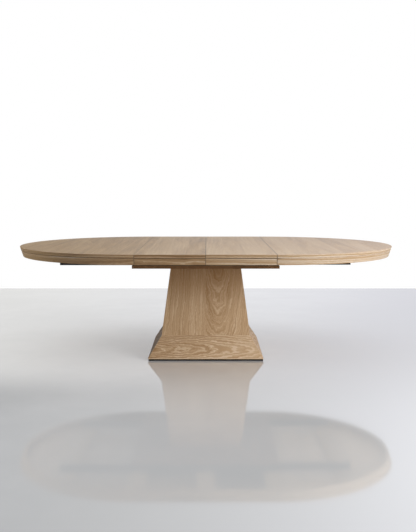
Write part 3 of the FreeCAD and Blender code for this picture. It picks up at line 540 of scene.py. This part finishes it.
def worn_and_highlit(g, colour, pale):
    """Colour with its edges a little paler, more in patches: partly rubbed wear, partly a painted highlight.
    """
    patch = g.smooth(g.noise(g.place(), WEAR_AND_HIGHLIGHT_PATCHES), *WEAR_AND_HIGHLIGHT_FROM)
    strength = g.math("MULTIPLY_ADD", patch, WEAR_AND_HIGHLIGHT_MORE, WEAR_AND_HIGHLIGHT_LEAST)
    return g.mix(g.times(g.edge(WEAR_AND_HIGHLIGHT_REACH), strength), colour, pale)


def rim_grain(g, centre):
    """Grain along the edge of the top, round this centre or, with none, straight along a leaf."""
    x, y, z = g.split(g.place())
    if centre is None:
        return g.point(x, z, y)
    from_centre = g.math("SUBTRACT", x, centre)
    turn = g.math("ARCTAN2", y, g.math("ABSOLUTE", from_centre))
    reach = g.math("SQRT", g.add(g.times(from_centre, from_centre), g.times(y, y)))
    return g.point(g.times(turn, TOP_RADIUS), z, reach)


def rim_oak(g, name, centre, seed):
    """Oak along the edge of the top, with painted light to the right and round its left end: colour,
    roughness, height.
    """
    x = g.split(g.place())[0]
    # painted light: the edge grows paler towards the right
    along = g.math("MINIMUM", g.math("MAXIMUM", x, -LEAF_END), EDGE_PAINTED_LIGHT_END)
    shift = g.add(g.times(along, EDGE_PAINTED_LIGHT_SLOPE), EDGE_SHIFTS[name])
    figure = RIM._replace(shift=shift, seed=seed)
    colour, roughness, height = oak(g, rim_grain(g, centre), figure, EDGE_TONES)
    # painted light: the left end is paler and warmer
    share = g.times(g.smooth(g.times(x, -1.0), *LEFT_END), LEFT_END_PAINTED_LIGHT_SHARE)
    return g.mix(share, colour, LEFT_END_PAINTED_LIGHT_COLOUR), roughness, height


def joint_shade(g, seams, flat):
    """How dark the seams and the groove round the edge are, from 0 away: painted shade, over dark joint
    lines in the seams.
    """
    x, _, z = g.split(g.place())
    groove = GROOVE_LEFT
    for across, strength in GROOVE_STEPS:
        groove = g.blend(g.smooth(x, *across), groove, strength)
    # painted shade in the groove round the edge of the top
    shade = g.times(g.near(z, SLAB_BOTTOM, GROOVE_SHADE), groove)
    for seam in seams:
        flat_strength = FLAT_SEAM_LEFT if seam < 0 else FLAT_SEAM_RIGHT
        strength = g.blend(flat, SEAM_STRENGTH, flat_strength)
        # dark joint lines, with painted shade of the gap between the pieces
        shade = g.math("MAXIMUM", shade, g.times(g.near(x, seam, SEAM_SHADE), strength))
    return shade


def top_oak(name, side, centre, seams, seed):
    """Slab: strips of veneer along the table's depth on its flat faces, grain along its edge."""
    g = Graph(name)
    x, y, z = g.split(g.place())
    # painted light: the flat faces are paler on the right and darker towards the rear
    shift = g.add(g.times(y, FLAT_PAINTED_LIGHT_SLOPE), FLAT_PAINTED_LIGHT[side])
    figure = FLAT._replace(ribbon=FLAT_RIBBONS[side], shift=shift, seed=seed)
    face_colour, face_roughness, face_height = oak(g, g.point(y, x, z), figure, TOP_TONES)
    rim_colour, rim_roughness, rim_height = rim_oak(g, name, centre, seed + EDGE_SEED)
    flat = g.smooth(g.math("ABSOLUTE", g.split(g.facing())[2]), *FLAT_FROM)
    colour = worn_and_highlit(g, g.mix(flat, rim_colour, face_colour), TOP_TONES.pale)
    # painted shade in the groove and the seams
    colour = g.mix(joint_shade(g, seams, flat), colour, JOINT_SHADE_COLOUR)
    roughness = g.blend(flat, rim_roughness, g.add(face_roughness, FLAT_ROUGHER))
    height = g.blend(flat, rim_height, face_height)
    return g.finish(g.surface(colour, roughness, height, OAK_RELIEF, Specular_IOR_Level=TOP_SPECULAR))


def apron_oak(name, centre, seams, seed):
    """Apron: grain along the edge of the top."""
    g = Graph(name)
    colour, roughness, height = rim_oak(g, name, centre, seed)
    # painted shade in the groove and the seams
    colour = g.mix(joint_shade(g, seams, 0.0), worn_and_highlit(g, colour, EDGE_TONES.pale), JOINT_SHADE_COLOUR)
    return g.finish(g.surface(colour, roughness, height, OAK_RELIEF, Specular_IOR_Level=APRON_SPECULAR))


def column_oak(name, across_x, seed):
    """Column panel: upright grain in two strips that meet in the middle, with painted shade darker and
    warmer at its head.
    """
    g = Graph(name)
    x, y, z = g.split(g.place())
    across, deep = (x, y) if across_x else (y, x)
    lean = COLUMN_LEAN if across_x else COLUMN_LEAN[::-1]
    # painted shade under the top: the column darkens and warms towards its head
    head = g.smooth(z, *COLUMN_HEAD)
    # painted light: the panel grows paler towards the right, where the window light falls
    shift = g.add(g.times(head, COLUMN_HEAD_PAINTED_SHADE), g.times(x, COLUMN_PAINTED_LIGHT_SLOPE), COLUMN_SHIFT)
    figure = UPRIGHT._replace(lean=lean, shift=shift, seed=seed)
    colour, roughness, height = oak(g, g.point(z, across, deep), figure, BODY_TONES)
    colour = g.mix(g.times(head, COLUMN_HEAD_SHADE_SHARE), colour, COLUMN_HEAD_SHADE_COLOUR)
    colour = worn_and_highlit(g, colour, BODY_TONES.pale)
    return g.finish(g.surface(colour, roughness, height, OAK_RELIEF, Specular_IOR_Level=PEDESTAL_SPECULAR))


def plinth_oak(name, across_x, shift, seed):
    """Plinth panel: level grain with a cathedral figure up the flare, and a painted highlight, a pale lip,
    at its foot.
    """
    g = Graph(name)
    x, y, z = g.split(g.place())
    along, deep = (x, y) if across_x else (y, x)
    # painted light: paler towards the right; shift is painted shade on the plinth's side panels
    figure = LEVEL._replace(shift=g.add(g.times(x, PLINTH_PAINTED_LIGHT_SLOPE), shift), seed=seed)
    grain = g.point(along, g.times(z, PLINTH_STRETCH), deep)
    colour, roughness, height = oak(g, grain, figure, BODY_TONES)
    # painted highlight: the lip at the plinth's foot is paler, as if it caught the light
    lip = g.math("LESS_THAN", z, PLINTH_FOOT + LIP_HEIGHT)
    colour = g.mix(g.times(lip, LIP_HIGHLIGHT_SHARE), colour, BODY_TONES.pale)
    colour = worn_and_highlit(g, colour, BODY_TONES.pale)
    return g.finish(g.surface(colour, roughness, height, OAK_RELIEF, Specular_IOR_Level=PEDESTAL_SPECULAR))


def plain_wood(name, axis, tones, rougher, seed):
    """Planed wood without lacquer, with its grain along one axis."""
    g = Graph(name)
    parts = g.split(g.place())
    grain = g.point(*[parts[index] for index in GRAIN_AXES[axis]])
    colour, roughness, height = oak(g, grain, INNER._replace(seed=seed), tones)
    roughness = g.add(roughness, rougher)
    return g.finish(g.surface(colour, roughness, height, RAW_RELIEF, Specular_IOR_Level=RAW_SPECULAR))


def dark_finish(name, dark):
    """Dark paint, anodising or moulded plastic with a fine tooth and rubbed edges."""
    g = Graph(name)
    tooth = g.noise(g.place(), dark.tooth)
    cloud = g.noise(g.place(), DARK_CLOUDS)
    share = g.smooth(g.add(g.swing(tooth, FINE_REACH), cloud), *BROAD_FROM)
    colour = g.mix(share, dark.low, dark.high)
    rubbed = tuple(RUBBED_TIMES * part for part in dark.high[:3]) + (1,)
    colour = g.mix(g.times(g.edge(RUBBED_REACH), RUBBED_SHARE), colour, rubbed)
    roughness = g.add(g.swing(tooth, TOOTH_ROUGHER), g.swing(cloud, CLOUD_ROUGHER), dark.roughness)
    return g.finish(g.surface(colour, roughness, tooth, dark.relief, Specular_IOR_Level=dark.specular))


def zinc(name):
    """Zinc plated steel with fine rolling lines and dull patches."""
    g = Graph(name)
    line = g.noise(g.place(), ZINC_LINES)
    patch = g.noise(g.place(), ZINC_PATCHES)
    share = g.smooth(g.add(g.swing(line, FINE_REACH), patch), *BROAD_FROM)
    colour = g.mix(share, *ZINC_COLOURS)
    roughness = g.add(g.swing(patch, ZINC_PATCH_ROUGHER), g.swing(line, ZINC_LINE_ROUGHER), ZINC_ROUGHNESS)
    return g.finish(g.surface(colour, roughness, line, ZINC_RELIEF, Metallic=1.0))


def dress(material, *names):
    """Gives nodes a material."""
    for name in names:
        nodes[name].material_slots[0].material = material


def both(*kinds):
    """Names of the pieces of these kinds on the left and on the right."""
    return [side + "_" + kind for kind in kinds for side in ("left", "right")]


def dress_top():
    """Slabs and aprons of the halves and the leaves."""
    for side, sign in (("left", -1), ("right", 1)):
        seed = TOP_SEEDS[side]
        centre = sign * HALF_CENTRE
        leaf_seams = (0.0, sign * LEAF_END)
        slab = top_oak(side + "_top_oak", side, centre, (centre,), seed)
        dress(slab, side + "_top_panel")
        leaf = top_oak(side + "_leaf_oak", side, None, leaf_seams, seed + LEAF_SEED)
        dress(leaf, side + "_leaf_panel")
        apron = apron_oak(side + "_apron_oak", centre, (centre,), seed + APRON_SEED)
        dress(apron, side + "_apron")
        leaf_apron = apron_oak(side + "_leaf_apron_oak", None, leaf_seams, seed + LEAF_APRON_SEED)
        dress(leaf_apron, side + "_leaf_front_apron", side + "_leaf_rear_apron")


def dress_pedestal():
    """Column and plinth panels."""
    for number, side in enumerate(("front", "right", "rear", "left")):
        across_x = side in ("front", "rear")
        column = column_oak("column_" + side + "_oak", across_x, COLUMN_SEED + number)
        dress(column, "column_" + side + "_panel")
        plinth = plinth_oak("plinth_" + side + "_oak", across_x, PLINTH_PAINTED_SHADES[side], PLINTH_SEED + number)
        dress(plinth, "plinth_" + side + "_panel")


def dress_inside():
    """Everything under the top and inside the pedestal."""
    cleat = plain_wood("cleat_wood", "y", RAW_TONES, RAW_ROUGHER, CLEAT_SEED)
    dress(cleat, *both("cleats", "leaf_cleats"))
    post = plain_wood("post_wood", "z", RAW_TONES, RAW_ROUGHER, POST_SEED)
    dress(post, "column_corner_posts")
    board = plain_wood("board_wood", "x", RAW_TONES, RAW_ROUGHER, BOARD_SEED)
    dress(board, "column_top_board", "column_inner_shelf", "plinth_top_board", "plinth_base_board")
    stained = plain_wood("stained_board", "x", STAINED_TONES, STAINED_ROUGHER, SUBTOP_SEED)
    dress(stained, "subtop_board")
    # toe kick: black paint that also stands for painted shade under the plinth
    dress(dark_finish("black_paint_and_shade", TOE_PAINT_AND_SHADE), "toe_kick")
    anodised = dark_finish("black_anodised", ANODISED)
    dress(anodised, "front_slide_guide", "rear_slide_guide", *both("front_runner", "rear_runner"))
    moulded = dark_finish("black_nylon", NYLON)
    feet = ["foot_" + end + "_" + side for side in ("left", "right") for end in ("front", "rear")]
    dress(moulded, "rack_guide_blocks", *both("leaf_keepers", "leaf_pads"), *feet)
    steel = zinc("zinc_steel")
    dress(steel, *both("front_latch", "rear_latch", "rack", "half_screws", "alignment_pins"))
    dress(steel, "equalizer_pinion", "pinion_stud", "pedestal_bolts", "guide_screws", "foot_inserts")


def floor_material():
    """Pale polished floor with faint clouds, clear from below so that the underside shows.

    The camera sees it darker on the lamp's side, where it would otherwise clip to white.
    """
    g = Graph("floor_finish")
    camera = g.ray("Camera")
    cloud = g.noise(g.place(), FLOOR_CLOUDS)
    clouded = g.mix(g.smooth(cloud, *FLOOR_CLOUDED), FLOOR_DARKER, FLOOR_COLOUR)
    x, y, _ = g.split(g.place())
    lit = g.smooth(g.add(x, g.times(y, FLOOR_LIT_LEAN)), *FLOOR_LIT_ACROSS)
    colour = g.mix(g.times(lit, camera), clouded, FLOOR_LIT)
    roughness = g.add(g.swing(cloud, FLOOR_ROUGHER), FLOOR_ROUGHNESS)
    constants = {"Specular_IOR_Level": FLOOR_SPECULAR, "IOR": FLOOR_IOR}
    polished = g.surface(colour, roughness, cloud, FLOOR_RELIEF, **constants)
    return g.finish(g.mix_shaders(g.times(g.backface(), camera), polished, g.clear()))


def wall_material():
    """White wall that is seen only from inside the room and sheds no light.

    Reflections show it dimmer above a height, the more so the further it is from the window.
    """
    g = Graph("wall_finish")
    camera = g.ray("Camera")
    glossy = g.ray("Glossy")
    x, _, z = g.split(g.place())
    rightwards = g.smooth(x, *MIRRORED_ACROSS)
    dimmed = g.blend(rightwards, MIRRORED_DARK, MIRRORED_BRIGHT)
    mirrored = g.blend(g.smooth(z, *MIRRORED_FROM), MIRRORED_BRIGHT, dimmed)
    strength = g.math("MAXIMUM", camera, g.times(glossy, mirrored))
    colour = g.mix(camera, g.mix(rightwards, *MIRRORED_COLOURS), WHITE)
    lit = g.node("Emission", {"Color": colour, "Strength": strength}).outputs[0]
    seen = g.times(g.less(g.backface()), g.math("MAXIMUM", camera, glossy))
    return g.finish(g.mix_shaders(seen, g.clear(), lit))


def stage_piece(name, corners, faces, material):
    """Piece of the stage from its corners and faces."""
    mesh = bpy.data.meshes.new(name)
    mesh.from_pydata(corners, [], faces)
    mesh.materials.append(material)
    piece = bpy.data.objects.new(name, mesh)
    bpy.context.scene.collection.objects.link(piece)


def square(half, z=0.0):
    """Corners of a level square about the upright axis."""
    return [(-half, -half, z), (half, -half, z), (half, half, z), (-half, half, z)]


def build_stage():
    """Floor, open under the pedestal so that its underside gets light, and four walls round it."""
    sides = [(corner, (corner + 1) % 4) for corner in range(4)]
    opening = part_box("toe_kick")[1].x * FLOOR_OPENING_SHARE
    upward = [(first, second, second + 4, first + 4) for first, second in sides]
    stage_piece("floor", square(FLOOR_HALF) + square(opening), upward, floor_material())
    inward = [(second, first, first + 4, second + 4) for first, second in sides]
    wall_corners = square(WALL_DISTANCE) + square(WALL_DISTANCE, WALL_HEIGHT)
    stage_piece("walls", wall_corners, inward, wall_material())


def build_world():
    """Soft light that grows from the horizon to overhead and underfoot.

    It is white where the camera looks past the stage.
    """
    world = bpy.data.worlds.new("studio")
    bpy.context.scene.world = world
    g = Graph("studio", world)
    steepness = g.math("ABSOLUTE", g.split(g.node("TexCoord").outputs["Generated"])[2])
    strength = g.blend(g.smooth(steepness, 0.0, 1.0), SKY_LOW, SKY_HIGH)
    light = g.node("Background", {"Color": SKY_COLOUR, "Strength": strength}).outputs[0]
    seen = g.node("Background", {"Color": WHITE, "Strength": 1.0}).outputs[0]
    g.node("OutputWorld", {"Surface": g.mix_shaders(g.ray("Camera"), light, seen)})


def build_lamp():
    """Soft window-like light from the right, which neither the camera nor reflections see."""
    data = bpy.data.lights.new("window_light", "AREA")
    data.shape = "RECTANGLE"
    data.size = WINDOW_WIDTH
    data.size_y = WINDOW_HEIGHT
    data.energy = WINDOW_WATTS
    lamp = bpy.data.objects.new("window_light", data)
    bpy.context.scene.collection.objects.link(lamp)
    lamp.location = WINDOW_PLACE
    lamp.visible_camera = False
    lamp.visible_glossy = False
    aim = [there - here for here, there in zip(WINDOW_PLACE, WINDOW_TARGET)]
    lamp.rotation_mode = "QUATERNION"
    lamp.rotation_quaternion = Vector(aim).to_track_quat("-Z", "Y")


def build_camera():
    """Level camera at the photograph's place."""
    data = bpy.data.cameras.new("camera")
    data.sensor_width = SENSOR_SIZE
    data.lens = SENSOR_SIZE * FOCAL_PIXELS / PICTURE_HEIGHT
    data.shift_y = (HORIZON_ROW - PICTURE_HEIGHT / 2) / PICTURE_HEIGHT
    camera = bpy.data.objects.new("camera", data)
    bpy.context.scene.collection.objects.link(camera)
    camera.location = CAMERA_PLACE
    camera.rotation_euler = (math.radians(90), 0, 0)
    bpy.context.scene.camera = camera


dress_top()
dress_pedestal()
dress_inside()
build_stage()
build_world()
build_lamp()
build_camera()
bpy.context.scene.view_settings.view_transform = "Standard"
